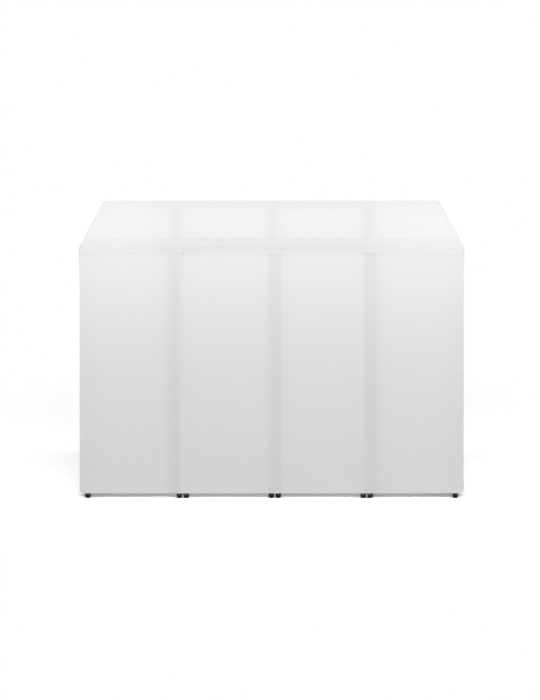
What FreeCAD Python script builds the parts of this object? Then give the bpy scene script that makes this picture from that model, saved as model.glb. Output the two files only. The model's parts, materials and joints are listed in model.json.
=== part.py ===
"""Folding DJ booth: four hinged front frames, two hinged wings, a lift-off shelf top and a stretch cover.

Units are millimetres. X runs along the front, Y from the audience to the operator, Z up.
The origin is on the floor, under the middle of the booth.
"""
import FreeCAD, Part
import math
import os
import re
import Sketcher

# Driving dimensions
DIMENSIONS = {
    "overall_width": 1500,
    "back_width": 1300,
    "overall_depth": 540,
    "overall_height": 1040,
    "front_overhang": 5,
    "side_overhang": 3,
    "back_inset": 6,
    "cover_thickness": 1,
    "cover_gap": 3,
    "top_cover_gap": 0.5,
    "top_corner_radius": 4,
    "top_edge_radius": 2.5,
    "seam_gap": 0.3,
    "hem_height": 23,
    "hem_corner_radius": 20,
    "tube_side": 25,
    "tube_wall": 1.5,
    "tube_corner": 2.5,
    "end_inset": 36.75,
    "panel_span": 330.4,
    "pair_spacing": 26.8,
    "upright_bottom": 22.6,
    "bottom_rail_height": 40,
    "foot_radius": 11,
    "foot_edge": 5,
    "foot_stem_radius": 8,
    "foot_stem_length": 30,
    "top_lift": 8,
    "cap_height": 7.5,
    "low_cap_height": 5.6,
    "cap_edge": 2,
    "cap_stem_clearance": 0.3,
    "cap_stem_length": 18,
    "pin_radius": 2.5,
    "pin_clearance": 0.05,
    "pin_head_radius": 3.6,
    "pin_head_height": 1,
    "fold_clearance": 0.5,
    "eye_radius": 4,
    "eye_height": 3,
    "eye_gap": 0.2,
    "eye_arm_length": 8,
    "stem_hole_radius": 8.4,
    "hinge_offset": 6,
    "hinge_setback": 4,
    "hinge_height": 60,
    "hinge_pitch": 365,
    "hinge_middle": 515,
    "leaf_thickness": 2,
    "leaf_width": 16,
    "leaf_relief": 4.4,
    "knuckle_radius": 4,
    "knuckle_length": 20,
    "screw_pitch": 36,
    "screw_radius": 2,
    "screw_head_radius": 4,
    "screw_length": 8,
    "shelf_tube_width": 25,
    "shelf_tube_height": 20,
    "shelf_gap": 1,
    "shelf_ledge": 3,
    "gusset_leg": 40,
    "board_gap": 0.5,
    "plate_width": 48,
    "plate_length": 36,
    "plate_thickness": 1.5,
    "plate_front": 131,
    "plate_rear": 347,
    "plate_clearance": 0.3,
    "peg_radius": 5,
    "peg_clearance": 0.3,
    "peg_length": 9,
    "peg_tip": 3,
    "peg_collar_radius": 7,
    "peg_pitch": 180,
}

PANELS = (1, 2, 3, 4)
FRONT_FOLDS = (1, 3)
BACK_FOLD = 2
SIDES = {"left": -1, "right": 1}
PLATE_PLACES = ("plate_front", "plate_rear")
TOLERANCE = 0.01

doc = FreeCAD.newDocument("dj_booth")
sheet = doc.addObject("Spreadsheet::Sheet", "Dims")
for row, (alias, number) in enumerate(DIMENSIONS.items(), start=1):
    sheet.set(f"A{row}", alias)
    sheet.set(f"B{row}", str(number))
    sheet.setAlias(f"B{row}", alias)
doc.recompute()

# Places that follow from the driving dimensions, as formulas
FRONT = "(-overall_depth / 2)"
BACK = "(overall_depth / 2)"
COVER_FRONT = f"({FRONT} + front_overhang)"
COVER_BACK = f"({COVER_FRONT} + cover_thickness)"
TUBE_FRONT = f"({COVER_BACK} + cover_gap)"
TUBE_MIDDLE = f"({TUBE_FRONT} + tube_side / 2)"
TUBE_BACK = f"({TUBE_FRONT} + tube_side)"
SHELF_TOP = "(overall_height - cover_thickness - top_cover_gap)"
SHELF_BOTTOM = f"({SHELF_TOP} - shelf_tube_height)"
UPRIGHT_TOP = f"({SHELF_BOTTOM} - top_lift)"
UPRIGHT_LENGTH = f"({UPRIGHT_TOP} - upright_bottom)"
COVER_TOP = f"({SHELF_BOTTOM} - seam_gap)"
TOP_RAIL_HEIGHT = f"({UPRIGHT_TOP} - tube_side)"
LAP_HEIGHT = "(2 * eye_height + eye_gap)"
PIVOT_FOOT_HEIGHT = f"(upright_bottom - {LAP_HEIGHT})"
FOLD_AXIS_FRONT = f"({COVER_FRONT} - fold_clearance)"
FOLD_AXIS_BACK = f"({TUBE_BACK} + hinge_offset)"
WING_ANGLE = "atan((overall_width - back_width) / 2 / overall_depth)"
WING_INSET = "(side_overhang + cover_thickness + cover_gap)"
WING_AXIS_DEPTH = "(tube_side + hinge_offset)"
WING_ORIGIN_Y = (f"({FOLD_AXIS_BACK} - hinge_setback * cos({WING_ANGLE})"
                 f" + {WING_AXIS_DEPTH} * sin({WING_ANGLE}))")
WING_LENGTH = f"(({BACK} - back_inset - {WING_ORIGIN_Y}) / cos({WING_ANGLE}))"
WING_COVER_FRONT = (f"(({COVER_BACK} + seam_gap - {WING_ORIGIN_Y} - cover_gap * sin({WING_ANGLE}))"
                    f" / cos({WING_ANGLE}))")


def side_x(y, inset):
    """Half the width of the booth's slanted plan at depth y, drawn in by an inset square to the side."""
    return f"(overall_width / 2 - ({y} - {FRONT}) * tan({WING_ANGLE}) - ({inset}) / cos({WING_ANGLE}))"


WING_ORIGIN_X = side_x(WING_ORIGIN_Y, WING_INSET)
WING_AXIS_X = (f"({WING_ORIGIN_X} - hinge_setback * sin({WING_ANGLE})"
               f" - {WING_AXIS_DEPTH} * cos({WING_ANGLE}))")
COVER_END = side_x(COVER_FRONT, "side_overhang")


def right_upright(panel):
    """Middle of a front panel's right upright."""
    return f"(overall_width / 2 - end_inset - {PANELS[-1] - panel} * (panel_span + pair_spacing))"


def left_upright(panel):
    """Middle of a front panel's left upright: the first panel takes up what the others leave."""
    if panel == PANELS[0]:
        return "(end_inset - overall_width / 2)"
    return f"({right_upright(panel)} - panel_span)"


def junction(panel):
    """Line between a front panel and the next one to its right."""
    return f"({right_upright(panel)} + pair_spacing / 2)"


def formula(text):
    """A formula in plain dimension names, as an expression that reads the sheet."""
    return re.sub(r"[a-z_]+", lambda found: ("Dims." if found[0] in DIMENSIONS else "") + found[0], str(text))


def value(text):
    """The number that a formula gives."""
    return float(sheet.evalExpression(formula(text)))


def bind(item, **properties):
    """Bind an object's properties to formulas."""
    for name, text in properties.items():
        item.setExpression(name, formula(text))
    return item


def place(item, x="0", y="0", z="0", turn=None):
    """Bind an object's placement to formulas, with an optional turn about the vertical."""
    for axis, text in zip("xyz", (x, y, z)):
        item.setExpression(f"Placement.Base.{axis}", formula(text))
    if turn is not None:
        # Any angle but 0 holds the vertical axis until the formula sets the angle
        item.Placement.Rotation = FreeCAD.Rotation(FreeCAD.Vector(0, 0, 1), 1)
        item.setExpression("Placement.Rotation.Angle", formula(turn))
    return item


# Building blocks
def box(name, size, corner):
    """A block with its low corner at a place."""
    item = doc.addObject("Part::Box", name)
    bind(item, Length=size[0], Width=size[1], Height=size[2])
    return place(item, *corner)


def cylinder(name, radius, height, base):
    """An upright cylinder standing on a place."""
    item = doc.addObject("Part::Cylinder", name)
    bind(item, Radius=radius, Height=height)
    return place(item, *base)


def cone(name, low_radius, high_radius, height, base):
    """An upright cone frustum standing on a place."""
    item = doc.addObject("Part::Cone", name)
    bind(item, Radius1=low_radius, Radius2=high_radius, Height=height)
    return place(item, *base)


def fuse(name, shapes):
    """Several solids welded into one."""
    item = doc.addObject("Part::MultiFuse", name)
    item.Shapes = shapes
    item.Refine = True
    return item


def cut(name, base, tool):
    """One solid less another."""
    item = doc.addObject("Part::Cut", name)
    item.Base = base
    item.Tool = tool
    return item


def group(label, members):
    """Separate solids that make up one node."""
    item = doc.addObject("Part::Compound", label)
    item.Label = label
    item.Links = members
    return item


def round_edges(name, base, radius, chosen):
    """Round those edges of a solid that the test picks."""
    doc.recompute()
    item = doc.addObject("Part::Fillet", name)
    item.Base = base
    size = value(radius)
    item.Edges = [(number, size, size) for number, edge in enumerate(base.Shape.Edges, start=1)
                  if chosen(edge)]
    return item


def new_body(name):
    return doc.addObject("PartDesign::Body", name)


def add_sketch(body, name, role):
    """A sketch on one of the body's own origin planes."""
    sketch = body.newObject("Sketcher::SketchObject", name)
    plane = next(item for item in body.Origin.OriginFeatures if item.Role == role)
    sketch.AttachmentSupport = [(plane, "")]
    sketch.MapMode = "FlatFace"
    return sketch


def add_loop(sketch, corners):
    """A closed loop of lines whose corners are each held by two dimensions."""
    first = sketch.GeometryCount
    count = len(corners)
    points = [FreeCAD.Vector(value(x), value(y), 0) for x, y in corners]
    for k in range(count):
        sketch.addGeometry(Part.LineSegment(points[k], points[(k + 1) % count]), False)
    for k in range(count):
        sketch.addConstraint(Sketcher.Constraint("Coincident", first + k, 2, first + (k + 1) % count, 1))
    for k, corner in enumerate(corners):
        for kind, text in zip(("DistanceX", "DistanceY"), corner):
            number = sketch.addConstraint(Sketcher.Constraint(kind, -1, 1, first + k, 1, value(text)))
            sketch.setExpression(f"Constraints[{number}]", formula(text))


def pad(body, name, sketch, length):
    item = body.newObject("PartDesign::Pad", name)
    item.Profile = sketch
    return bind(item, Length=length)


def named_edges(feature, chosen):
    """Names of those edges of a feature's shape that the test picks."""
    doc.recompute()
    return [f"Edge{number}" for number, edge in enumerate(feature.Shape.Edges, start=1) if chosen(edge)]


def is_vertical(edge):
    return edge.BoundBox.ZLength > max(edge.BoundBox.XLength, edge.BoundBox.YLength)


def stands_at(edge, x, y):
    """Whether a vertical edge stands at a place in plan."""
    middle = edge.CenterOfMass
    return is_vertical(edge) and math.hypot(middle.x - value(x), middle.y - value(y)) < TOLERANCE


# Frame tubes
def square_tube(name, along, length, corner):
    """A hollow square tube with rounded long edges, open at both ends, from its low corner."""
    outer_size = ["tube_side"] * 3
    inner_size = ["tube_side - 2 * tube_wall"] * 3
    inner_corner = [f"{text} + tube_wall" for text in corner]
    outer_size[along] = length
    inner_size[along] = length
    inner_corner[along] = corner[along]
    outer = box(f"{name}_outer", outer_size, corner)
    inner = box(f"{name}_inner", inner_size, inner_corner)

    def is_long(edge):
        spans = (edge.BoundBox.XLength, edge.BoundBox.YLength, edge.BoundBox.ZLength)
        return spans[along] == max(spans) and spans[along] > 2 * DIMENSIONS["tube_side"]

    rounded = round_edges(f"{name}_rounded", outer, "tube_corner", is_long)
    return cut(f"{name}_tube", rounded, inner)


def rectangle_frame(name, first, second, y):
    """Two uprights, whose low sides are at first and second, with a rail between them at top and bottom."""
    members = []
    for place_name, x in (("first", first), ("second", second)):
        members.append(square_tube(f"{name}_{place_name}", 2, UPRIGHT_LENGTH, (x, y, "upright_bottom")))
    rail_start = f"({first} + tube_side)"
    rail_length = f"({second} - {rail_start})"
    for place_name, z in (("low", "bottom_rail_height"), ("high", TOP_RAIL_HEIGHT)):
        members.append(square_tube(f"{name}_{place_name}", 0, rail_length, (rail_start, y, z)))
    return members


# Feet and tube caps
def foot(name, height, x, y):
    """A turned foot: a rounded head under the upright and a stem inside it."""
    body = new_body(name)
    sketch = add_sketch(body, f"{name}_profile", "XZ_Plane")
    stem_top = f"({height} + foot_stem_length)"
    add_loop(sketch, [("0", "0"), ("foot_radius", "0"), ("foot_radius", height), ("foot_stem_radius", height),
                      ("foot_stem_radius", stem_top), ("0", stem_top)])
    turned = body.newObject("PartDesign::Revolution", f"{name}_turned")
    turned.Profile = sketch
    turned.ReferenceAxis = (sketch, ["V_Axis"])
    turned.Angle = 360

    def is_low_rim(edge):
        return edge.BoundBox.ZMax < TOLERANCE and edge.BoundBox.XLength > DIMENSIONS["foot_radius"]

    rounded = body.newObject("PartDesign::Fillet", f"{name}_rounded")
    rounded.Base = (turned, named_edges(turned, is_low_rim))
    bind(rounded, Radius="foot_edge")
    return place(body, x, y, "0")


def tube_cap(name, x, y, upside_down=False):
    """A moulded plug with a rounded head and a square stem, which closes the tube whose middle is at x, y."""
    stem_side = "(tube_side - 2 * tube_wall - 2 * cap_stem_clearance)"
    head_height = "low_cap_height" if upside_down else "cap_height"
    head_base = "upright_bottom - low_cap_height" if upside_down else UPRIGHT_TOP
    stem_base = "upright_bottom" if upside_down else f"{UPRIGHT_TOP} - cap_stem_length"
    head = box(f"{name}_head", ("tube_side", "tube_side", head_height),
               (f"{x} - tube_side / 2", f"{y} - tube_side / 2", head_base))
    stem = box(f"{name}_stem", (stem_side, stem_side, "cap_stem_length"),
               (f"{x} - {stem_side} / 2", f"{y} - {stem_side} / 2", stem_base))
    face = value(head_base) if upside_down else value(f"{head_base} + {head_height}")
    rounded = round_edges(f"{name}_rounded", head, "cap_edge",
                          lambda edge: abs(edge.CenterOfMass.z - face) < TOLERANCE)
    return fuse(f"{name}_plug", [rounded, stem])


# Half-lap pivot plates of the front folds
def pivot_plate(name, panel, towards, low_eye, z, holed):
    """A plate on a tube's end with an arm to the fold's axis, which is halved where the eyes lap."""
    x = right_upright(panel) if towards > 0 else left_upright(panel)
    axis_x = f"({x} + {towards} * pair_spacing / 2)"
    eye_z = z if low_eye else f"({z} + eye_height + eye_gap)"
    seat = box(f"{name}_seat", ("tube_side", "tube_side", LAP_HEIGHT),
               (f"{x} - tube_side / 2", TUBE_FRONT, z))
    arm_start = f"({axis_x} - eye_arm_length)" if towards > 0 else axis_x
    arm = box(f"{name}_arm", ("eye_arm_length", f"{TUBE_MIDDLE} - {FOLD_AXIS_FRONT}", "eye_height"),
              (arm_start, FOLD_AXIS_FRONT, eye_z))
    cheek_start = arm_start if towards > 0 else f"({axis_x} + eye_radius + eye_gap)"
    cheek_front = f"({FOLD_AXIS_FRONT} + fold_clearance / 2)"
    cheek = box(f"{name}_cheek",
                ("eye_arm_length - eye_radius - eye_gap", f"{TUBE_MIDDLE} - {cheek_front}", LAP_HEIGHT),
                (cheek_start, cheek_front, z))
    eye_base = (axis_x, FOLD_AXIS_FRONT, eye_z)
    eye = cylinder(f"{name}_eye", "eye_radius", "eye_height", eye_base)
    bore = cylinder(f"{name}_bore", "pin_radius + pin_clearance", "eye_height", eye_base)
    plate = cut(f"{name}_bored", fuse(f"{name}_blank", [seat, arm, cheek, eye]), bore)
    if not holed:
        return plate
    hole = cylinder(f"{name}_hole", "stem_hole_radius", LAP_HEIGHT, (x, TUBE_MIDDLE, z))
    return cut(f"{name}_holed", plate, hole)


def pivot_pin(name, panel, z, head_up):
    """A headed pin on the axis of a front fold."""
    axis = (junction(panel), FOLD_AXIS_FRONT)
    shank = cylinder(f"{name}_shank", "pin_radius", LAP_HEIGHT, axis + (z,))
    head_z = f"({z} + {LAP_HEIGHT})" if head_up else f"({z} - pin_head_height)"
    head = cylinder(f"{name}_head", "pin_head_radius", "pin_head_height", axis + (head_z,))
    return fuse(f"{name}_pin", [shank, head])


# Butt hinges of the back folds and the wings
def hinge_heights():
    return [f"(hinge_middle + {step} * hinge_pitch)" for step in (-1, 0, 1)]


def hinge_leaf(name, direction, outer):
    """A leaf about its own axis and middle: a plate on the mounting face, and knuckles round the pin."""
    start = "leaf_relief" if direction > 0 else "-leaf_relief - leaf_width"
    plate = box(f"{name}_plate", ("leaf_width", "leaf_thickness", "hinge_height"),
                (start, "-hinge_offset", "-hinge_height / 2"))
    inner_half = "(knuckle_length / 2 - eye_gap / 2)"
    if outer:
        spans = [("-hinge_height / 2", "knuckle_length - eye_gap / 2"),
                 ("knuckle_length / 2 + eye_gap / 2", "knuckle_length - eye_gap / 2")]
    else:
        spans = [(f"-{inner_half}", f"2 * {inner_half}")]
    shapes = [plate]
    tang_length = "(leaf_relief + leaf_thickness)"
    for number, (low, height) in enumerate(spans):
        shapes.append(cylinder(f"{name}_knuckle_{number}", "knuckle_radius", height, ("0", "0", low)))
        tang_start = "0" if direction > 0 else f"-{tang_length}"
        shapes.append(box(f"{name}_tang_{number}", (tang_length, "leaf_thickness", height),
                          (tang_start, "leaf_thickness / 2 - hinge_offset", low)))
    bore = cylinder(f"{name}_bore", "pin_radius + pin_clearance", "hinge_height",
                    ("0", "0", "-hinge_height / 2"))
    leaf = cut(f"{name}_bored", fuse(f"{name}_blank", shapes), bore)
    sinks = [screw_hole(f"{name}_sink_{sign}", direction, sign) for sign in (-1, 1)]
    return cut(f"{name}_leaf", leaf, fuse(f"{name}_sinks", sinks))


def screw_axis(direction, sign):
    """Where a leaf's screw stands, about the hinge's middle."""
    return f"{direction} * (leaf_relief + leaf_width / 2)", f"{sign} * screw_pitch / 2"


def lay_down(item, x, y, z):
    """Turn an upright round piece so that it points along +Y from a place."""
    item.Placement.Rotation = FreeCAD.Rotation(FreeCAD.Vector(1, 0, 0), -90)
    return place(item, x, y, z)


def screw_hole(name, direction, sign):
    """A countersunk hole through the leaf's plate."""
    x, z = screw_axis(direction, sign)
    sink = cone(name, "screw_radius", "screw_head_radius", "leaf_thickness", ("0", "0", "0"))
    return lay_down(sink, x, "-hinge_offset", z)


def hinge_screw(name, direction, sign):
    """A countersunk screw whose head fills the leaf's hole and whose shank goes into the tube."""
    x, z = screw_axis(direction, sign)
    head = cone(f"{name}_head", "screw_radius", "screw_head_radius", "leaf_thickness", ("0", "0", "0"))
    lay_down(head, x, "-hinge_offset", z)
    shank = cylinder(f"{name}_shank", "screw_radius", "screw_length", ("0", "0", "0"))
    lay_down(shank, x, "-hinge_offset - screw_length", z)
    return fuse(f"{name}_screw", [head, shank])


def hinge_set(label, screws_label, direction, outer, axis, turn):
    """The leaves and screws that one panel carries on a fold."""
    leaves = []
    screws = []
    for number, z in enumerate(hinge_heights()):
        leaves.append(place(hinge_leaf(f"{label}_{number}", direction, outer), *axis, z, turn))
        for sign in (-1, 1):
            screw = hinge_screw(f"{screws_label}_{number}_{sign + 1}", direction, sign)
            screws.append(place(screw, *axis, z, turn))
    return [group(label, leaves), group(screws_label, screws)]


def hinge_pins(label, axis):
    """The pins of one fold's hinges."""
    pins = [cylinder(f"{label}_{number}", "pin_radius", "hinge_height", (*axis, f"{z} - hinge_height / 2"))
            for number, z in enumerate(hinge_heights())]
    return group(label, pins)


# Covers
def flat_cover(name, start, end, y, rounded_side):
    """A stretched section of cover from hem to seam, with one rounded bottom corner or none."""
    sheet_box = box(f"{name}_flat", (f"{end} - {start}", "cover_thickness", f"{COVER_TOP} - hem_height"),
                    (start, y, "hem_height"))
    if rounded_side == 0:
        return sheet_box
    corner_x = value(start if rounded_side < 0 else end)
    low = DIMENSIONS["hem_height"]

    def is_corner(edge):
        middle = edge.CenterOfMass
        return abs(middle.x - corner_x) < TOLERANCE and abs(middle.z - low) < TOLERANCE

    return round_edges(f"{name}_rounded", sheet_box, "hem_corner_radius", is_corner)


def front_cover(panel):
    """A front section of cover, notched at the top where a pivot plate's arm passes it."""
    label = f"front_cover_{panel}"
    first = panel == PANELS[0]
    last = panel == PANELS[-1]
    start = f"(-{COVER_END})" if first else f"({junction(panel - 1)} + seam_gap)"
    end = COVER_END if last else f"({junction(panel)} - seam_gap)"
    rounded_side = -1 if first else 1 if last else 0
    cloth = flat_cover(label, start, end, COVER_FRONT, rounded_side)
    notch_start = f"({end} - eye_arm_length)" if panel in FRONT_FOLDS else start
    notch = box(f"{label}_notch", ("eye_arm_length", "cover_thickness", "top_lift"),
                (notch_start, COVER_FRONT, f"{UPRIGHT_TOP} - seam_gap"))
    cloth = cut(f"{label}_cloth", cloth, notch)
    cloth.Label = label
    return cloth


# Shelf top
def shelf_edges(panel, y, inset):
    """Left and right limits of a shelf at depth y, drawn in by an inset from its seams or slanted ends."""
    end = side_x(y, f"cover_thickness + top_cover_gap + {inset}")
    left = f"-{end}" if panel == PANELS[0] else f"({junction(panel - 1)} + shelf_gap / 2 + {inset})"
    right = end if panel == PANELS[-1] else f"({junction(panel)} - shelf_gap / 2 - {inset})"
    return left, right


def shelf_limits(inset):
    """Front and back limits of a shelf, drawn in by an inset."""
    margin = f"(cover_thickness + top_cover_gap + {inset})"
    return f"({FRONT} + {margin})", f"({BACK} - {margin})"


def shelf_outline(panel, inset):
    """Corners of a shelf's outline: front left, front right, back right, back left."""
    front, back = shelf_limits(inset)
    front_left, front_right = shelf_edges(panel, front, inset)
    back_left, back_right = shelf_edges(panel, back, inset)
    return [(front_left, front), (front_right, front), (back_right, back), (back_left, back)]


def gusseted_bay(panel):
    """The bay's outline with its four corners cut off, which leaves the gussets that carry the board."""
    inset = "shelf_tube_width"
    front, back = shelf_limits(inset)
    front_inner = f"({front} + gusset_leg)"
    back_inner = f"({back} - gusset_leg)"
    corners = shelf_outline(panel, inset)
    low_left, low_right = shelf_edges(panel, front_inner, inset)
    high_left, high_right = shelf_edges(panel, back_inner, inset)
    return [(f"{corners[0][0]} + gusset_leg", front), (f"{corners[1][0]} - gusset_leg", front),
            (low_right, front_inner), (high_right, back_inner),
            (f"{corners[2][0]} - gusset_leg", back), (f"{corners[3][0]} + gusset_leg", back),
            (high_left, back_inner), (low_left, front_inner)]


def shelf_frame(panel):
    """A welded shelf frame with corner gussets, recessed where the joining plates lie."""
    label = f"shelf_frame_{panel}"
    body = new_body(f"{label}_blank")
    ledge = add_sketch(body, f"{label}_ledge_outline", "XY_Plane")
    add_loop(ledge, shelf_outline(panel, "0"))
    add_loop(ledge, gusseted_bay(panel))
    pad(body, f"{label}_ledge", ledge, "shelf_ledge")
    rim = add_sketch(body, f"{label}_rim_outline", "XY_Plane")
    add_loop(rim, shelf_outline(panel, "0"))
    add_loop(rim, shelf_outline(panel, "shelf_tube_width"))
    tip = pad(body, f"{label}_rim", rim, "shelf_tube_height")
    if panel in (PANELS[0], PANELS[-1]):
        front_left, front_right, back_right, back_left = shelf_outline(panel, "0")
        ends = (front_left, back_left) if panel == PANELS[0] else (front_right, back_right)
        corners = named_edges(tip, lambda edge: any(stands_at(edge, *corner) for corner in ends))
        rounded = body.newObject("PartDesign::Fillet", f"{label}_corners")
        rounded.Base = (tip, corners)
        bind(rounded, Radius="top_corner_radius")
    recesses = []
    for number in (panel - 1, panel):
        if number in PANELS[:-1]:
            recesses += [plate_box(f"{label}_recess_{number}_{spot}", number, spot, "plate_clearance")
                         for spot in PLATE_PLACES]
    place(body, z=SHELF_BOTTOM)
    frame = cut(f"{label}_recessed", body, fuse(f"{label}_recesses", recesses))
    frame.Label = label
    return frame


def plate_box(name, number, spot, clearance):
    """The space of a joining plate over a seam between two shelves, with clearance round it."""
    return box(name, (f"plate_width + 2 * {clearance}", f"plate_length + 2 * {clearance}", "plate_thickness"),
               (f"{junction(number)} - plate_width / 2 - {clearance}",
                f"{FRONT} + {spot} - plate_length / 2 - {clearance}", f"{SHELF_TOP} - plate_thickness"))


def joining_plates():
    """Flush plates that tie neighbouring shelves together, two over each seam."""
    plates = []
    for number in PANELS[:-1]:
        for spot in PLATE_PLACES:
            name = f"joining_plate_{number}_{spot}"
            plates.append(round_edges(name, plate_box(f"{name}_blank", number, spot, "0"),
                                      "top_corner_radius", is_short_edge))
    return group("shelf_joining_plates", plates)


def is_short_edge(edge):
    return edge.BoundBox.ZLength > DIMENSIONS["plate_thickness"] / 2


def shelf_board(panel):
    """A board that drops into its shelf frame and lies on the gussets, flush with the frame."""
    label = f"shelf_board_{panel}"
    body = new_body(label)
    outline = add_sketch(body, f"{label}_outline", "XY_Plane")
    add_loop(outline, shelf_outline(panel, "(shelf_tube_width + board_gap)"))
    pad(body, f"{label}_pad", outline, "shelf_tube_height - shelf_ledge")
    return place(body, z=f"{SHELF_BOTTOM} + shelf_ledge")


def top_cover():
    """The cover's top section: a shallow tray, turned over the shelves, with rounded corners and edges."""
    body = new_body("top_cover")
    outline = add_sketch(body, "top_cover_outline", "XY_Plane")
    front = side_x(FRONT, "0")
    back = side_x(BACK, "0")
    add_loop(outline, [(f"-{front}", FRONT), (front, FRONT), (back, BACK), (f"-{back}", BACK)])
    height = f"(overall_height - {SHELF_BOTTOM})"
    block = pad(body, "top_cover_block", outline, height)
    corners = body.newObject("PartDesign::Fillet", "top_cover_corners")
    corners.Base = (block, named_edges(block, is_vertical))
    bind(corners, Radius="top_corner_radius")
    edges = body.newObject("PartDesign::Fillet", "top_cover_edges")
    edges.Base = (corners, named_edges(corners, lambda edge: edge.BoundBox.ZMin > value(height) - TOLERANCE))
    bind(edges, Radius="top_edge_radius")
    doc.recompute()
    open_faces = [f"Face{number}" for number, face in enumerate(edges.Shape.Faces, start=1)
                  if face.BoundBox.ZMax < TOLERANCE]
    shell = body.newObject("PartDesign::Thickness", "top_cover_shell")
    shell.Base = (edges, open_faces)
    shell.Reversed = True
    bind(shell, Value="cover_thickness")
    return place(body, z=SHELF_BOTTOM)


def peg_places():
    """Where the top's two pegs stand, over the top rail of the second panel."""
    middle = f"(({left_upright(BACK_FOLD)} + {right_upright(BACK_FOLD)}) / 2)"
    return [(f"{middle} + {sign} * peg_pitch / 2", TUBE_MIDDLE) for sign in (-1, 1)]


def locating_pegs():
    """Shouldered pegs under the top, which stand on the second panel's rail and drop into its holes."""
    pegs = []
    for number, spot in enumerate(peg_places()):
        shank_base = f"{UPRIGHT_TOP} - peg_length"
        collar = cylinder(f"peg_collar_{number}", "peg_collar_radius", "top_lift", (*spot, UPRIGHT_TOP))
        shank = cylinder(f"peg_shank_{number}", "peg_radius", "peg_length", (*spot, shank_base))
        tip = cone(f"peg_tip_{number}", "peg_radius / 2", "peg_radius", "peg_tip",
                   (*spot, f"{shank_base} - peg_tip"))
        pegs.append(fuse(f"peg_{number}", [collar, shank, tip]))
    return group("locating_pegs", pegs)


# Assembly of the front panels and the wings
def front_panel(panel):
    """A front panel's frame, feet, cap, cover and the hardware of its folds."""
    left, right = left_upright(panel), right_upright(panel)
    tubes = rectangle_frame(f"front_{panel}", f"({left} - tube_side / 2)", f"({right} - tube_side / 2)",
                            TUBE_FRONT)
    if panel == BACK_FOLD:
        # The drill passes the rail's top wall by half a wall on both sides
        holes = [cylinder(f"peg_hole_{number}", "peg_radius + peg_clearance", "tube_wall * 2",
                          (*spot, f"{UPRIGHT_TOP} - tube_wall * 3 / 2"))
                 for number, spot in enumerate(peg_places())]
        tubes[-1] = cut("front_peg_rail", tubes[-1], fuse("peg_holes", holes))
    towards = 1 if panel in FRONT_FOLDS else -1
    pivot_x, plain_x = (right, left) if towards > 0 else (left, right)
    feet = [foot(f"front_{panel}_pivot_foot", PIVOT_FOOT_HEIGHT, pivot_x, TUBE_MIDDLE),
            foot(f"front_{panel}_plain_foot", "upright_bottom", plain_x, TUBE_MIDDLE)]
    cap = tube_cap(f"front_{panel}_cap", plain_x, TUBE_MIDDLE)
    cap.Label = f"front_cap_{panel}"
    plates = [pivot_plate(f"pivot_{panel}_low", panel, towards, towards > 0, PIVOT_FOOT_HEIGHT, True),
              pivot_plate(f"pivot_{panel}_high", panel, towards, towards > 0, UPRIGHT_TOP, False)]
    return [group(f"front_frame_{panel}", tubes), group(f"front_feet_{panel}", feet), cap,
            group(f"pivot_plates_panel_{panel}", plates), front_cover(panel)]


def wing(side):
    """A wing's frame, foot, caps and cover, built square to its own length and then turned into place."""
    sign = SIDES[side]
    low_y = "0" if sign > 0 else "-tube_side"
    middle_y = f"({sign} * tube_side / 2)"
    rear = f"({WING_LENGTH} - tube_side)"
    tubes = rectangle_frame(f"wing_{side}", "0", rear, low_y)
    rear_middle = f"({rear} + tube_side / 2)"
    rear_foot = foot(f"wing_{side}_rear_foot", "upright_bottom", rear_middle, middle_y)
    caps = [tube_cap(f"wing_{side}_front_cap", "tube_side / 2", middle_y),
            tube_cap(f"wing_{side}_rear_cap", rear_middle, middle_y),
            tube_cap(f"wing_{side}_low_cap", "tube_side / 2", middle_y, upside_down=True)]
    cover_y = "(-cover_gap - cover_thickness)" if sign > 0 else "cover_gap"
    cloth = flat_cover(f"wing_{side}_cover", WING_COVER_FRONT, f"({WING_LENGTH} + seam_gap)", cover_y, -1)
    nodes = [group(f"wing_frame_{side}", tubes), group(f"wing_foot_{side}", [rear_foot]),
             group(f"wing_caps_{side}", caps), group(f"wing_cover_{side}", [cloth])]
    for node in nodes:
        place(node, f"{sign} * {WING_ORIGIN_X}", WING_ORIGIN_Y, "0", f"90 deg + {sign} * {WING_ANGLE}")
    return nodes


def fold_hardware():
    """Pins of the front folds, and the hinges of the middle back fold and of both wings."""
    nodes = []
    for panel in FRONT_FOLDS:
        pins = [pivot_pin(f"pivot_pin_{panel}_low", panel, PIVOT_FOOT_HEIGHT, False),
                pivot_pin(f"pivot_pin_{panel}_high", panel, UPRIGHT_TOP, True)]
        nodes.append(group(f"pivot_pins_{panel}_{panel + 1}", pins))
    axis = (junction(BACK_FOLD), FOLD_AXIS_BACK)
    for panel, direction in ((BACK_FOLD, -1), (BACK_FOLD + 1, 1)):
        nodes += hinge_set(f"hinge_leaves_panel_{panel}", f"hinge_screws_panel_{panel}", direction,
                           direction < 0, axis, None)
    nodes.append(hinge_pins(f"hinge_pins_{BACK_FOLD}_{BACK_FOLD + 1}", axis))
    for side, sign in SIDES.items():
        panel = PANELS[0] if sign < 0 else PANELS[-1]
        axis = (f"{sign} * {WING_AXIS_X}", FOLD_AXIS_BACK)
        turn = f"{180 - 90 * sign} deg + {sign} * {WING_ANGLE}"
        nodes += hinge_set(f"hinge_leaves_panel_{panel}", f"hinge_screws_panel_{panel}", sign, True,
                           axis, None)
        nodes += hinge_set(f"hinge_leaves_wing_{side}", f"hinge_screws_wing_{side}", sign, False,
                           axis, turn)
        nodes.append(hinge_pins(f"hinge_pins_{side}", axis))
    return nodes


def check_document(nodes):
    """Stop before anything is written if an object failed or a node's shape is not sound."""
    for item in doc.Objects:
        if {"Invalid", "Error"} & set(item.State):
            raise RuntimeError(f"{item.Label} failed: {item.State}")
    for node in nodes:
        if node.Shape.isNull() or not node.Shape.isValid() or not node.Shape.Solids:
            raise RuntimeError(f"{node.Label} has no sound shape")


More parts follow.
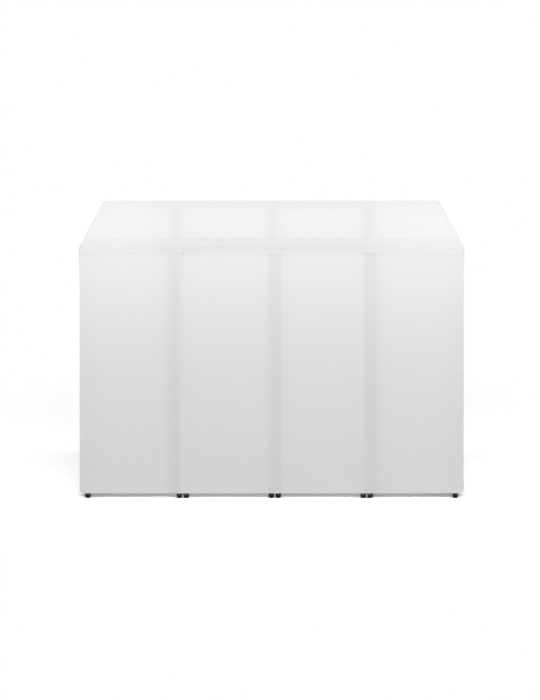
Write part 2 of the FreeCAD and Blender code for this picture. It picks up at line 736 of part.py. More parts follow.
def main():
    nodes = []
    for panel in PANELS:
        nodes += front_panel(panel)
    for side in SIDES:
        nodes += wing(side)
    nodes += fold_hardware()
    for panel in PANELS:
        nodes += [shelf_frame(panel), shelf_board(panel)]
    nodes += [joining_plates(), locating_pegs(), top_cover()]
    doc.recompute()
    check_document(nodes)
    os.makedirs("parts", exist_ok=True)
    for node in nodes:
        node.Shape.exportStep(os.path.join("parts", f"{node.Label}.step"))
    print(len(nodes), "nodes")


main()
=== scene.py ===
"""Looks of a folding DJ booth, in metres: stretch cover, frames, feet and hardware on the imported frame."""
import json
import math
from collections import namedtuple

import bmesh
import bpy
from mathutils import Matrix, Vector


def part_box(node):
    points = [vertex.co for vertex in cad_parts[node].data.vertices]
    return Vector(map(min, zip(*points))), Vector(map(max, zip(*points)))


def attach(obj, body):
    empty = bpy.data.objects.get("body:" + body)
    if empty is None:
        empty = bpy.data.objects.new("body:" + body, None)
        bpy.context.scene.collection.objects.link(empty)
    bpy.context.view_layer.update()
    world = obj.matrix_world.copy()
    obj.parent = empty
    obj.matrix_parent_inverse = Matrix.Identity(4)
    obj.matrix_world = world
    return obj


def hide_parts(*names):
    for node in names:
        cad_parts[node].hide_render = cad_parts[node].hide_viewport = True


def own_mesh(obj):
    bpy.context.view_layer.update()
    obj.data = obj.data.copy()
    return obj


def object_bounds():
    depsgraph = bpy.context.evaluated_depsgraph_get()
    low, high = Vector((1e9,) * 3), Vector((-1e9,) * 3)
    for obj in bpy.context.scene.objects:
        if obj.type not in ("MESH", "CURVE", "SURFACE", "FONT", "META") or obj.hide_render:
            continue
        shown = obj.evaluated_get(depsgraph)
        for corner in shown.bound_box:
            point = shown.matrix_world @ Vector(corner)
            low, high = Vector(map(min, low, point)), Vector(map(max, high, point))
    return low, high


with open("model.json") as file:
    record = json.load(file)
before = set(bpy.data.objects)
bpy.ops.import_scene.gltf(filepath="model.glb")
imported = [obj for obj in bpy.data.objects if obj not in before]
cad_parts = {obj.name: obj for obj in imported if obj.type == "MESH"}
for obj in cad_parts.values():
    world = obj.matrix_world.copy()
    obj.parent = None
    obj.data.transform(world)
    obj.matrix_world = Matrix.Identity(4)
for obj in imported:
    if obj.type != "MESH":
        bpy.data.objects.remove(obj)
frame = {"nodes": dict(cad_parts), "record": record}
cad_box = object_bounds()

NODES = frame["nodes"]
BODY_OF = {node: body for body, nodes in frame["record"]["behaviour"]["bodies"].items() for node in nodes}
MILLIMETRE = 0.001

# The cover's sizes
CLOTH_THICKNESS = 0.6 * MILLIMETRE
WING_TAPER = 0.1
HEM_CORNER_RADIUS = 20 * MILLIMETRE
HEM_ROLL_RADIUS = 1.2 * MILLIMETRE
HEM_TURN = 14 * MILLIMETRE
EDGE_ROLL_RADIUS = 0.5 * MILLIMETRE
OUTER_EDGE_RADIUS = 0.8 * MILLIMETRE
SEAM_REACH = 0.27 * MILLIMETRE
PIVOT_NOTCH_WIDTH = 4.2 * MILLIMETRE
PIVOT_NOTCH_DEPTH = 8 * MILLIMETRE
NOTCH_STEP = 0.2 * MILLIMETRE
DRAW_IN = 0.8 * MILLIMETRE

# How far the cover leans out, and widens at the corners, to meet the top's edge
FRONT_LEAN = 4.6 * MILLIMETRE
WING_LEAN = 2.6 * MILLIMETRE
FRONT_CORNER_FLARE = 2.0 * MILLIMETRE
WING_CORNER_FLARE = 4.2 * MILLIMETRE
LEAN_POWER = 10

# How finely the cover is divided
FIELD_COLUMNS = 16
FIELD_ROWS = 40
ROW_CROWDING = 1.6
EDGE_SUPPORT = 0.3 * MILLIMETRE
ARC_STEPS = 6

# The top section's sizes
SHOULDER_RADIUS = 4.2 * MILLIMETRE
TOP_CORNER_RADIUS = 6 * MILLIMETRE
SKIRT_HEM_HEIGHT = 8 * MILLIMETRE
LONG_SIDE_STEPS = 30
SHORT_SIDE_STEPS = 11
FIELD_INSETS = (0.006, 0.03, 0.09, 0.17)

# Stitches along the hems; a ring is a place along the stitch and a share of its radius
STITCH_LENGTH = 3.0 * MILLIMETRE
STITCH_PITCH = 4.2 * MILLIMETRE
STITCH_RADIUS = 0.28 * MILLIMETRE
STITCH_SIDES = 6
STITCH_RINGS = ((0.0, 0.15), (0.18, 0.85), (0.5, 1.0), (0.82, 0.85), (1.0, 0.15))
HEM_STITCH_HEIGHT = 11 * MILLIMETRE

# The cloth: a white stretch knit
CLOTH_COLOUR = (0.880, 0.882, 0.900, 1)
CLOTH_ROUGHNESS = 0.82
CLOTH_SPECULAR = 0.2
SHEEN_WEIGHT = 0.08
SHEEN_ROUGHNESS = 0.5
CLOUD_SCALE = 7.0
CLOUD_TONE = 0.006
WALE_PITCH = 1.1 * MILLIMETRE
COURSE_PITCH = 0.9 * MILLIMETRE
KNIT_STRENGTH = 0.25
KNIT_DEPTH = 0.15 * MILLIMETRE

# A tone is painted shade: it takes an amount off the cloth's brightness, in full up to start and not at all
# from end on; a negative amount is painted light
Tone = namedtuple("Tone", "amount start end")

# Painted shade: bands where a pair of uprights shows through the front as shade, with the widths of their
# soft sides
Band = namedtuple("Band", "middle soft_left soft_right")
FRONT_SHADE_BANDS = (Band(-0.380, 0.040, 0.008), Band(0.0145, 0.012, 0.012), Band(0.386, 0.008, 0.040))
SHADE_BAND_HALF_WIDTH = 0.027
FRONT_SHADE_BAND_AMOUNT = 0.045
FRONT_SHADE_BAND_CORE = Tone(0.012, 0.004, 0.026)
FRONT_SHADE_BAND_HALO = Tone(0.016, 0.0, 0.110)

# Other painted tones of the front, by distance from its middle or by height: painted shade over the outer
# uprights, the top rail and the middle
MIDDLE_SHADE_SPAN = (0.28, 0.62)
OUTER_UPRIGHT_SHADE = Tone(0.022, 0.746, 0.640)
FRONT_TOP_RAIL_SHADE = Tone(0.03, 1.012, 0.985)
FRONT_MIDDLE_SHADE = Tone(0.02, *MIDDLE_SHADE_SPAN)
# Painted light: the front is lighter low down and at the hem
FRONT_FOOT_LIGHT = Tone(-0.028, 0.02, 0.16)
FRONT_HEM_LIGHT = Tone(-0.05, 0.026, 0.036)

# Painted shade of the wings over their front and rear uprights, by distance from their front and rear edges
WING_UPRIGHT_SHADE = Tone(0.045, 0.02, 0.07)

# Painted shade: bands where the shelf frames' sides show through the top as shade, with darker spots at the
# joining plates
TOP_SHADE_BANDS = (-0.374, 0.0064, 0.376)
TOP_SHADE_BAND_CORE = Tone(0.038, 0.0, 0.048)
TOP_SHADE_BAND_HALO = Tone(0.012, 0.0, 0.110)
BAND_BACK_DEPTH = (0.39, 0.51)
BAND_BACK_SHARE = 0.35
PLATE_PLACES = (0.131, 0.347)
SHADE_SPOT_AMOUNT = 0.02
SPOT_WIDTH = (0.004, 0.032)
SPOT_DEPTH = (0.012, 0.030)

# Other painted shade of the top, darker towards its front edge, along the front skirt and over the middle, by
# distance from its front edge; a pair of amounts is for its ends and its middle
STRIP_DEPTH = (0.093, 0.137)
STRIP_SHADE_AMOUNTS = (0.065, 0.082)
FIELD_SHADE_AMOUNT = 0.010
SLOPE_DEPTH = (0.08, 0.42)
SLOPE_SHADE_AMOUNT = 0.096
EDGE_DEPTH = (0.010, 0.060)
EDGE_HEIGHT = (0.012, -0.004)
EDGE_SHADE_AMOUNTS = (0.036, 0.050)
FRONT_EDGE_DEPTH = (0.006, 0.020)
FRONT_EDGE_SHADE_AMOUNTS = (0.010, 0.028)
LEFT_PART = (-0.45, -0.2)
TOP_MIDDLE_SHADE_AMOUNT = 0.047

# Painted shade of the shoulder: a darker line along the fold, by distance below the top
FLAT_DROP = (0.5 * MILLIMETRE, 6.5 * MILLIMETRE)
SHOULDER_DROP = 1.1 * MILLIMETRE
SHOULDER_SHADE = Tone(0.05, 0.3 * MILLIMETRE, 1.1 * MILLIMETRE)

# Pivot enamel: the share of the cloth's colour low down and high up, and the heights between them; the black
# low down is painted shade, dark like the shadow under the hem
ENAMEL_ROUGHNESS = 0.5
ENAMEL_SHADE_AND_WHITE_SHARES = (0.03, 1.06)
ENAMEL_HEIGHTS = (0.55, 0.45)
ENAMEL_PATCHES = (0.96, 1.02)

# Stage: the floor's colour to light, and to the eye under the booth and in front of it, where a brighter
# colour to the eye is painted light that lifts the booth's shadow under the hem
FLOOR_HALF_SIZE = 12.0
FLOOR_COLOUR = (0.9, 0.9, 0.9, 1)
FLOOR_TO_EYE = 1.62
FLOOR_PAINTED_LIGHT_IN_FRONT = 3.3
PAINTED_LIGHT_FADE = (-0.248, -0.228)
FLOOR_FADE = (0.85, 1.4)
WHITE = (1, 1, 1, 1)

# Light
WORLD_STRENGTH = 0.27
OVERHEAD = {"place": (0.05, 0.25, 2.9), "target": (0.05, 0.25, 0.0), "size": (3.6, 0.5), "power": 25.7}
KEY = {"place": (0.28, -1.2, 1.8), "target": (0.28, -0.265, 0.85), "size": (5.6, 0.6), "power": 37.6}

# Camera
CAMERA_ELEVATION = math.radians(20)
CAMERA_DISTANCE = 6.0
PIXELS_PER_METRE = 257.4
IMAGE_HEIGHT = 700
VIEW_CENTRE_X = -0.0064
VIEW_CENTRE_UP = 0.4883


# Meshes
def mesh_piece(name, points, faces, outward):
    """A mesh object whose faces look, on the whole, along outward."""
    mesh = bpy.data.meshes.new(name)
    mesh.from_pydata([tuple(point) for point in points], [], faces)
    shape = bmesh.new()
    shape.from_mesh(mesh)
    bmesh.ops.recalc_face_normals(shape, faces=shape.faces)
    shape.to_mesh(mesh)
    shape.free()
    facing = sum((face.normal * face.area for face in mesh.polygons), Vector())
    if facing.dot(outward) < 0:
        mesh.flip_normals()
    mesh.shade_smooth()
    piece = bpy.data.objects.new(name, mesh)
    bpy.context.scene.collection.objects.link(piece)
    return piece


def grid_faces(row_count, column_count, closed=False):
    """Faces between neighbouring rows of points; closed also joins each row's last point to its first."""
    faces = []
    for row in range(row_count - 1):
        for column in range(column_count if closed else column_count - 1):
            following = (column + 1) % column_count
            faces.append((row * column_count + column, row * column_count + following,
                          (row + 1) * column_count + following, (row + 1) * column_count + column))
    return faces


def thicken(piece):
    """Cloth has its thickness on the inside of the modelled face."""
    solid = piece.modifiers.new("cloth", "SOLIDIFY")
    solid.thickness = CLOTH_THICKNESS
    solid.offset = -1


def spread(start, end, count):
    """Evenly spaced numbers from start to end, both included."""
    return [start + (end - start) * step / count for step in range(count + 1)]


def quarter():
    """Angles of a quarter turn, both ends included."""
    return spread(0, math.pi / 2, ARC_STEPS)


class Panel:
    """A flat stretched section of cover: along runs along its hem, out looks away from the booth.

    A pair in rounded, flare or notched is for the start and the end of the hem.
    """

    def __init__(self, node, along, out, lean, rounded, flare, notched=(False, False)):
        points = [vertex.co for vertex in NODES[node].data.vertices]
        self.along = along
        self.out = out
        self.start = min(point.dot(along) for point in points)
        self.end = max(point.dot(along) for point in points)
        self.face = max(point.dot(out) for point in points)
        self.low = min(point.z for point in points)
        self.high = max(point.z for point in points)
        self.lean = lean
        self.flare = flare
        self.rounded = rounded
        self.notched = notched
        self.start -= 0 if rounded[0] else SEAM_REACH
        self.end += 0 if rounded[1] else SEAM_REACH

    def point(self, along, depth, height):
        """A place at a depth inwards from the face, which leans and flares out to the top's edge."""
        up = max(0, (height - self.low) / (self.high - self.low)) ** LEAN_POWER
        across = (along - self.start) / (self.end - self.start)
        wider = self.flare[1] * across - self.flare[0] * (1 - across)
        flat = self.along * (along + wider * up) + self.out * (self.face + self.lean * up - depth)
        return Vector((flat.x, flat.y, height))

    def columns(self):
        """Places along the hem with their depth, from the rolled start edge to the rolled end edge."""
        start_radius, end_radius = [OUTER_EDGE_RADIUS if rounded else EDGE_ROLL_RADIUS
                                    for rounded in self.rounded]
        first, last = self.start + start_radius, self.end - end_radius
        places = [(self.start + start_radius * (1 - math.sin(turn)), start_radius * (1 - math.cos(turn)))
                  for turn in reversed(quarter())]
        inner = spread(self.start + HEM_CORNER_RADIUS, self.end - HEM_CORNER_RADIUS, FIELD_COLUMNS)
        edges = (self.start, self.end)
        for rounded, notched, edge, inwards in zip(self.rounded, self.notched, edges, (1, -1)):
            if rounded:
                inner += [edge + inwards * HEM_CORNER_RADIUS * (1 - math.cos(turn)) for turn in quarter()[1:]]
            if notched:
                inner += [edge + inwards * (PIVOT_NOTCH_WIDTH + step) for step in (0, NOTCH_STEP)]
        places += [(along, 0) for along in sorted(set(inner)) if first < along < last]
        places += [(last + end_radius * math.sin(turn), end_radius - end_radius * math.cos(turn))
                   for turn in quarter()]
        return places

    def bottom(self, along):
        """Height of the hem, which rises round a rounded corner."""
        height = self.low
        for rounded, gap in zip(self.rounded, (along - self.start, self.end - along)):
            if rounded and gap < HEM_CORNER_RADIUS:
                height += HEM_CORNER_RADIUS - math.sqrt(gap * (2 * HEM_CORNER_RADIUS - gap))
        return height

    def top(self, along):
        """Height of the upper edge, which steps down in front of a pivot eye."""
        for notched, gap in zip(self.notched, (along - self.start, self.end - along)):
            if notched and gap <= PIVOT_NOTCH_WIDTH + NOTCH_STEP / 2:
                return self.high - PIVOT_NOTCH_DEPTH
        return self.high

    def hollow(self, along, height):
        """How far the tight cloth draws in between the tubes that carry it."""
        across = (along - self.start) / (self.end - self.start)
        up = (height - self.low) / (self.high - self.low)
        return DRAW_IN * math.sin(math.pi * min(max(across, 0), 1)) * math.sin(math.pi * min(max(up, 0), 1))

    def rows(self):
        """Rows of points from the upper edge down the face, round the hem and up its turned-in part."""
        columns = self.columns()
        rows = [[self.point(along, depth, self.top(along)) for along, depth in columns]]
        for step in range(FIELD_ROWS + 1):
            row = []
            for along, depth in columns:
                top, bottom = self.top(along) - EDGE_SUPPORT, self.bottom(along) + HEM_ROLL_RADIUS
                height = top + (bottom - top) * (step / FIELD_ROWS) ** ROW_CROWDING
                row.append(self.point(along, depth + self.hollow(along, height), height))
            rows.append(row)
        for turn in spread(0, math.pi, 2 * ARC_STEPS)[1:]:
            rows.append([self.point(along, depth + HEM_ROLL_RADIUS * (1 - math.cos(turn)),
                                    self.bottom(along) + HEM_ROLL_RADIUS * (1 - math.sin(turn)))
                         for along, depth in columns])
        rows.append([self.point(along, depth + 2 * HEM_ROLL_RADIUS, self.bottom(along) + HEM_TURN)
                     for along, depth in columns])
        return rows

    def hem_line(self):
        """Points of the stitch row that follows the hem, with the way out of the cloth at each."""
        margin = HEM_STITCH_HEIGHT / 2
        count = int((self.end - self.start - 2 * margin) / STITCH_PITCH)
        places = spread(self.start + margin, self.end - margin, count)
        return [(self.point(along, 0, self.bottom(along) + HEM_STITCH_HEIGHT), self.out) for along in places]


def stitches(name, line, body, material):
    """Short raised stitches along a line of (point, way out), each a thread half sunk in the cloth."""
    points, faces = [], []
    ring_faces = grid_faces(len(STITCH_RINGS), STITCH_SIDES, True)
    last_ring = (len(STITCH_RINGS) - 1) * STITCH_SIDES
    for (here, out), (there, _) in zip(line, line[1:]):
        along = (there - here).normalized()
        side = along.cross(out)
        first = len(points)
        for share, width in STITCH_RINGS:
            middle = here + along * STITCH_LENGTH * share
            for turn in range(STITCH_SIDES):
                angle = 2 * math.pi * turn / STITCH_SIDES
                away = out * math.cos(angle) + side * math.sin(angle)
                points.append(middle + away * STITCH_RADIUS * width)
        faces += [tuple(first + corner for corner in face) for face in ring_faces]
        faces.append(tuple(first + corner for corner in range(STITCH_SIDES)))
        faces.append(tuple(first + last_ring + corner for corner in range(STITCH_SIDES)))
    piece = mesh_piece(name, points, faces, Vector((0, 0, 0)))
    piece.data.materials.append(material)
    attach(piece, body)
    return piece


def panel_piece(name, node, panel, material):
    """The cloth of one panel with its hem stitches, in place of its CAD solid."""
    rows = panel.rows()
    points = [point for row in rows for point in row]
    piece = mesh_piece(name, points, grid_faces(len(rows), len(rows[0])), panel.out)
    thicken(piece)
    piece.data.materials.append(material)
    body = BODY_OF[node]
    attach(piece, body)
    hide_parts(node)
    thread = stitches(f"{name}_stitches", panel.hem_line(), body, FINISH["thread"])
    return piece


# The top section
def rounded_outline(corners, radius):
    """The outline through four corners, each rounded, with a fixed count of points on every side."""
    outline = []
    for number, corner in enumerate(corners):
        before = (corners[number - 1] - corner).normalized()
        following = corners[(number + 1) % len(corners)]
        after = (following - corner).normalized()
        half_angle = before.angle(after) / 2
        reach = radius / math.tan(half_angle)
        middle = corner + (before + after).normalized() * (radius / math.sin(half_angle))
        start, end = corner + before * reach - middle, corner + after * reach - middle
        turn = start.angle(end)
        for share in spread(0, 1, ARC_STEPS):
            outline.append(middle + (start * math.sin((1 - share) * turn) + end * math.sin(share * turn))
                           / math.sin(turn))
        next_angle = (corner - following).angle(corners[(number + 2) % len(corners)] - following) / 2
        side_start, side_end = corner + after * reach, following - after * (radius / math.tan(next_angle))
        steps = LONG_SIDE_STEPS if number % 2 == 0 else SHORT_SIDE_STEPS
        outline += [side_start.lerp(side_end, step / steps) for step in range(1, steps)]
    return outline


def top_outline(inset):
    """The top's plan outline, drawn in by an inset on all sides."""
    low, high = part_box("top_cover")
    slope = math.atan2(WING_TAPER, high.y - low.y)
    front_half = high.x + SHOULDER_RADIUS * math.tan(slope)
    across = (front_half - inset / math.cos(slope) - inset * math.tan(slope),
              front_half - WING_TAPER - inset / math.cos(slope) + inset * math.tan(slope))
    front, back = low.y + inset, high.y - inset
    corners = [Vector((-across[0], front, 0)), Vector((across[0], front, 0)),
               Vector((across[1], back, 0)), Vector((-across[1], back, 0))]
    return rounded_outline(corners, max(TOP_CORNER_RADIUS - inset, EDGE_ROLL_RADIUS))


def top_levels():
    """Inset and height of each ring of the top section, from its field over the shoulder to the hem."""
    low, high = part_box("top_cover")
    levels = [(inset, high.z) for inset in reversed(FIELD_INSETS)]
    levels += [(SHOULDER_RADIUS * (1 - math.sin(turn)), high.z - SHOULDER_RADIUS * (1 - math.cos(turn)))
               for turn in quarter()]
    hem_top = low.z + SKIRT_HEM_HEIGHT
    levels += [(0, hem_top), (0, low.z + EDGE_SUPPORT), (0, low.z)]
    return levels


def even_line(outline):
    """Points a stitch apart along a closed outline, with the way out of the cloth at each."""
    line = []
    left_over = 0.0
    for here, there in zip(outline, outline[1:] + outline[:1]):
        run = there - here
        out = run.normalized().cross(Vector((0, 0, 1)))
        place = left_over
        while place < run.length:
            line.append((here + run.normalized() * place, out))
            place += STITCH_PITCH
        left_over = place - run.length
    return line


def top_piece(material):
    """The top section of the cover: a tight field, a soft shoulder and a skirt with a stitched hem."""
    levels = top_levels()
    rings = [[Vector((point.x, point.y, height)) for point in top_outline(inset)] for inset, height in levels]
    points = [point for ring in rings for point in ring]
    faces = grid_faces(len(rings), len(rings[0]), True)
    faces.append(tuple(range(len(rings[0]))))
    piece = mesh_piece("cover_top", points, faces, Vector((0, 0, 1)))
    thicken(piece)
    piece.data.materials.append(material)
    body = BODY_OF["top_cover"]
    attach(piece, body)
    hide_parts("top_cover")
    low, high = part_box("top_cover")
    seam = [Vector((point.x, point.y, low.z + SKIRT_HEM_HEIGHT)) for point in top_outline(0)]
    thread = stitches("cover_top_stitches", even_line(seam), body, FINISH["thread"])


# Materials
class Finish:
    """A Principled material with object places at hand; numbers go straight onto sockets."""

    def __init__(self, name, colour, roughness, metallic=0.0):
        self.material = bpy.data.materials.new(name)
        self.material.use_nodes = True
        self.tree = self.material.node_tree
        self.shader = self.tree.nodes["Principled BSDF"]
        self.shader.inputs["Base Color"].default_value = colour
        self.shader.inputs["Roughness"].default_value = roughness
        self.shader.inputs["Metallic"].default_value = metallic
        self.place = self.add("ShaderNodeTexCoord").outputs["Object"]
        axes = self.add("ShaderNodeSeparateXYZ")
        self.join(self.place, axes.inputs[0])
        self.x, self.y, self.z = axes.outputs

    def add(self, kind, **settings):
        """A new node with its settings."""
        node = self.tree.nodes.new(kind)
        for name, setting in settings.items():
            setattr(node, name, setting)
        return node

    def join(self, value, socket):
        """A number is set on the socket, and an output is linked to it."""
        if isinstance(value, (int, float)):
            socket.default_value = value
        else:
            self.tree.links.new(value, socket)

    def math(self, operation, first, second=0.0):
        """The result of a sum on outputs or numbers."""
        node = self.add("ShaderNodeMath", operation=operation)
        self.join(first, node.inputs[0])
        self.join(second, node.inputs[1])
        return node.outputs[0]

    def times(self, first, second):
        """The product of two outputs or numbers."""
        return self.math("MULTIPLY", first, second)

    def total(self, values):
        """The sum of several outputs."""
        result = values[0]
        for value in values[1:]:
            result = self.math("ADD", result, value)
        return result

    def away(self, axis, middle):
        """Distance of a coordinate from a middle value."""
        return self.math("ABSOLUTE", self.math("SUBTRACT", axis, middle))

    def fade(self, value, start, end):
        """1 up to start, falling smoothly to 0 at end; it rises instead where end is below start."""
        node = self.add("ShaderNodeMapRange", interpolation_type="SMOOTHSTEP")
        low, high, first, last = (start, end, 1.0, 0.0) if start < end else (end, start, 0.0, 1.0)
        for socket, number in zip(("From Min", "From Max", "To Min", "To Max"), (low, high, first, last)):
            node.inputs[socket].default_value = number
        self.join(value, node.inputs["Value"])
        return node.outputs["Result"]

    def dip(self, value, tone):
        """What a tone takes off where a coordinate or distance has this value."""
        return self.times(self.fade(value, tone.start, tone.end), tone.amount)

    def noise(self, scale, detail=2.0, stretch=None):
        """Noise in object space, stretched along the axes where asked."""
        node = self.add("ShaderNodeTexNoise")
        node.inputs["Scale"].default_value = scale
        node.inputs["Detail"].default_value = detail
        place = self.place
        if stretch:
            mapping = self.add("ShaderNodeMapping")
            mapping.inputs["Scale"].default_value = stretch
            self.join(place, mapping.inputs["Vector"])
            place = mapping.outputs["Vector"]
        self.join(place, node.inputs["Vector"])
        return node.outputs["Fac"]

    def between(self, value, low, high):
        """A 0 to 1 output spread over another range."""
        return self.math("ADD", self.times(value, high - low), low)

    def tone(self, factor, colour):
        """The base colour is a colour times a factor that varies over the surface."""
        mix = self.add("ShaderNodeVectorMath", operation="SCALE")
        mix.inputs[0].default_value = colour[:3]
        self.join(factor, mix.inputs["Scale"])
        self.join(mix.outputs[0], self.shader.inputs["Base Color"])

    def gloss(self, roughness):
        """The roughness varies over the surface."""
        self.join(roughness, self.shader.inputs["Roughness"])

    def bump(self, height, strength, distance):
        """A fine relief."""
        node = self.add("ShaderNodeBump")
        node.inputs["Strength"].default_value = strength
        node.inputs["Distance"].default_value = distance
        self.join(height, node.inputs["Height"])
        self.join(node.outputs["Normal"], self.shader.inputs["Normal"])


def knit(finish, across, up):
    """Height of a fine knit: rows of small loops along two directions of the cloth."""
    ribs = finish.math("SINE", finish.times(across, 2 * math.pi / WALE_PITCH))
    loops = finish.math("SINE", finish.times(up, 2 * math.pi / COURSE_PITCH))
    return finish.times(ribs, loops)


def cloth_finish(name, shading_of, across_name, up_name):
    """White stretch knit, darker by painted shade where the frame behind it shows through, and lighter by
    painted light in places.
    """
    finish = Finish(name, CLOTH_COLOUR, CLOTH_ROUGHNESS)
    finish.shader.inputs["Sheen Weight"].default_value = SHEEN_WEIGHT
    finish.shader.inputs["Sheen Roughness"].default_value = SHEEN_ROUGHNESS
    finish.shader.inputs["Specular IOR Level"].default_value = CLOTH_SPECULAR
    cloud = finish.between(finish.noise(CLOUD_SCALE), -CLOUD_TONE, CLOUD_TONE)
    dips = finish.total([cloud, *shading_of(finish)])
    finish.tone(finish.math("SUBTRACT", 1.0, dips), CLOTH_COLOUR)
    height = knit(finish, getattr(finish, across_name), getattr(finish, up_name))
    finish.bump(height, KNIT_STRENGTH, KNIT_DEPTH)
    return finish.material


def front_painted_shading(finish):
    """Painted shade: bands over the uprights and tones over the outer uprights, rail and middle; painted
    light: a lighter foot and hem.
    """
    dips = []
    for band in FRONT_SHADE_BANDS:
        left, right = band.middle - SHADE_BAND_HALF_WIDTH, band.middle + SHADE_BAND_HALF_WIDTH
        left_side = finish.fade(finish.x, left + band.soft_left / 2, left - band.soft_left / 2)
        right_side = finish.fade(finish.x, right - band.soft_right / 2, right + band.soft_right / 2)
        dips.append(finish.times(finish.times(left_side, right_side), FRONT_SHADE_BAND_AMOUNT))
        gap = finish.away(finish.x, band.middle)
        dips.append(finish.dip(gap, FRONT_SHADE_BAND_CORE))
        dips.append(finish.dip(gap, FRONT_SHADE_BAND_HALO))
    from_middle = finish.away(finish.x, 0.0)
    dips.append(finish.dip(from_middle, OUTER_UPRIGHT_SHADE))
    dips.append(finish.dip(finish.z, FRONT_TOP_RAIL_SHADE))
    dips.append(finish.dip(from_middle, FRONT_MIDDLE_SHADE))
    dips.append(finish.dip(finish.z, FRONT_FOOT_LIGHT))
    dips.append(finish.dip(finish.z, FRONT_HEM_LIGHT))
    return dips


def top_painted_shading(finish):
    """Painted shade: bands and plate spots behind a strip along the front, and darker tones towards the front
    edge, along the shoulder and over the middle.
    """
    low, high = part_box("top_cover")

    def by_depth(span):
        """A fade between two distances from the front edge."""
        return finish.fade(finish.y, low.y + span[0], low.y + span[1])

    behind_strip = by_depth(STRIP_DEPTH[::-1])
    dips = [finish.times(behind_strip, FIELD_SHADE_AMOUNT)]
    weaker_behind = finish.between(by_depth(BAND_BACK_DEPTH), BAND_BACK_SHARE, 1.0)
    band_strength = finish.times(behind_strip, weaker_behind)
    for middle in TOP_SHADE_BANDS:
        gap = finish.away(finish.x, middle)
        band = finish.total([finish.dip(gap, TOP_SHADE_BAND_CORE), finish.dip(gap, TOP_SHADE_BAND_HALO)])
        dips.append(finish.times(band, band_strength))
        near_band = finish.fade(gap, *SPOT_WIDTH)
        for from_front in PLATE_PLACES:
            near_plate = finish.fade(finish.away(finish.y, low.y + from_front), *SPOT_DEPTH)
            dips.append(finish.times(finish.times(near_band, near_plate), SHADE_SPOT_AMOUNT))
    middle_part = finish.fade(finish.away(finish.x, 0.0), *MIDDLE_SHADE_SPAN)
    on_top = finish.fade(finish.z, high.z - FLAT_DROP[0], high.z - FLAT_DROP[1])
    strip = finish.times(on_top, by_depth(STRIP_DEPTH))
    dips.append(finish.times(strip, finish.between(middle_part, *STRIP_SHADE_AMOUNTS)))
    dips.append(finish.times(on_top, finish.times(by_depth(SLOPE_DEPTH), SLOPE_SHADE_AMOUNT)))
    dips.append(finish.dip(finish.away(finish.z, high.z - SHOULDER_DROP), SHOULDER_SHADE))
    left_part = finish.fade(finish.x, *LEFT_PART)
    dips.append(finish.times(by_depth(FRONT_EDGE_DEPTH), finish.between(left_part, *FRONT_EDGE_SHADE_AMOUNTS)))
    above_hem = finish.fade(finish.z, low.z + EDGE_HEIGHT[0], low.z + EDGE_HEIGHT[1])
    edge = finish.times(by_depth(EDGE_DEPTH), above_hem)
    dips.append(finish.times(edge, finish.between(middle_part, *EDGE_SHADE_AMOUNTS)))
    dips.append(finish.times(middle_part, TOP_MIDDLE_SHADE_AMOUNT))
    return dips


def wing_painted_shading(finish):
    """Painted shade: soft darker ends over the wing's front and rear uprights."""
    low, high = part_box("wing_cover_left")
    middle, half = (low.y + high.y) / 2, (high.y - low.y) / 2
    ends = finish.fade(finish.away(finish.y, middle), half - WING_UPRIGHT_SHADE.start, half - WING_UPRIGHT_SHADE.end)
    return [finish.times(ends, WING_UPRIGHT_SHADE.amount)]


def powder_coat():
    """Silver powder coat with a fine orange peel and a little wear in its gloss."""
    colour = (0.60, 0.61, 0.62, 1)
    finish = Finish("frame_aluminium", colour, roughness=0.42, metallic=0.75)
    patches = finish.noise(scale=30.0)
    finish.tone(finish.between(patches, 0.95, 1.03), colour)
    wear = finish.noise(scale=55.0, detail=4.0)
    finish.gloss(finish.between(wear, 0.34, 0.5))
    orange_peel = finish.noise(scale=900.0)
    finish.bump(orange_peel, strength=0.12, distance=0.2 * MILLIMETRE)
    return finish.material


def rubber_finish():
    """Black rubber, matt, with a fine mould texture and dusty patches."""
    colour = (0.012, 0.012, 0.013, 1)
    finish = Finish("foot_rubber", colour, roughness=0.7)
    finish.shader.inputs["Specular IOR Level"].default_value = 0.15
    dust = finish.noise(scale=140.0, detail=4.0)
    finish.tone(finish.between(dust, 0.7, 1.5), colour)
    smears = finish.noise(scale=220.0)
    finish.gloss(finish.between(smears, 0.6, 0.8))
    mould_texture = finish.noise(scale=1600.0)
    finish.bump(mould_texture, strength=0.3, distance=0.2 * MILLIMETRE)
    return finish.material


def plastic_finish():
    """Black moulded plastic with a spark-eroded grain."""
    colour = (0.026, 0.026, 0.028, 1)
    finish = Finish("cap_plastic", colour, roughness=0.5)
    patches = finish.noise(scale=80.0)
    finish.tone(finish.between(patches, 0.85, 1.2), colour)
    handling = finish.noise(scale=400.0)
    finish.gloss(finish.between(handling, 0.42, 0.58))
    grain = finish.noise(scale=2200.0)
    finish.bump(grain, strength=0.25, distance=0.1 * MILLIMETRE)
    return finish.material


def steel_finish(name, colour):
    """Plated steel, brushed along its length, with cloudy plating."""
    finish = Finish(name, colour, roughness=0.3, metallic=1.0)
    plating = finish.noise(scale=60.0, detail=4.0)
    finish.tone(finish.between(plating, 0.85, 1.08), colour)
    brushed = finish.noise(scale=60.0, detail=3.0, stretch=(30.0, 30.0, 1.0))
    finish.gloss(finish.between(brushed, 0.22, 0.42))
    finish.bump(brushed, strength=0.08, distance=0.1 * MILLIMETRE)
    return finish.material


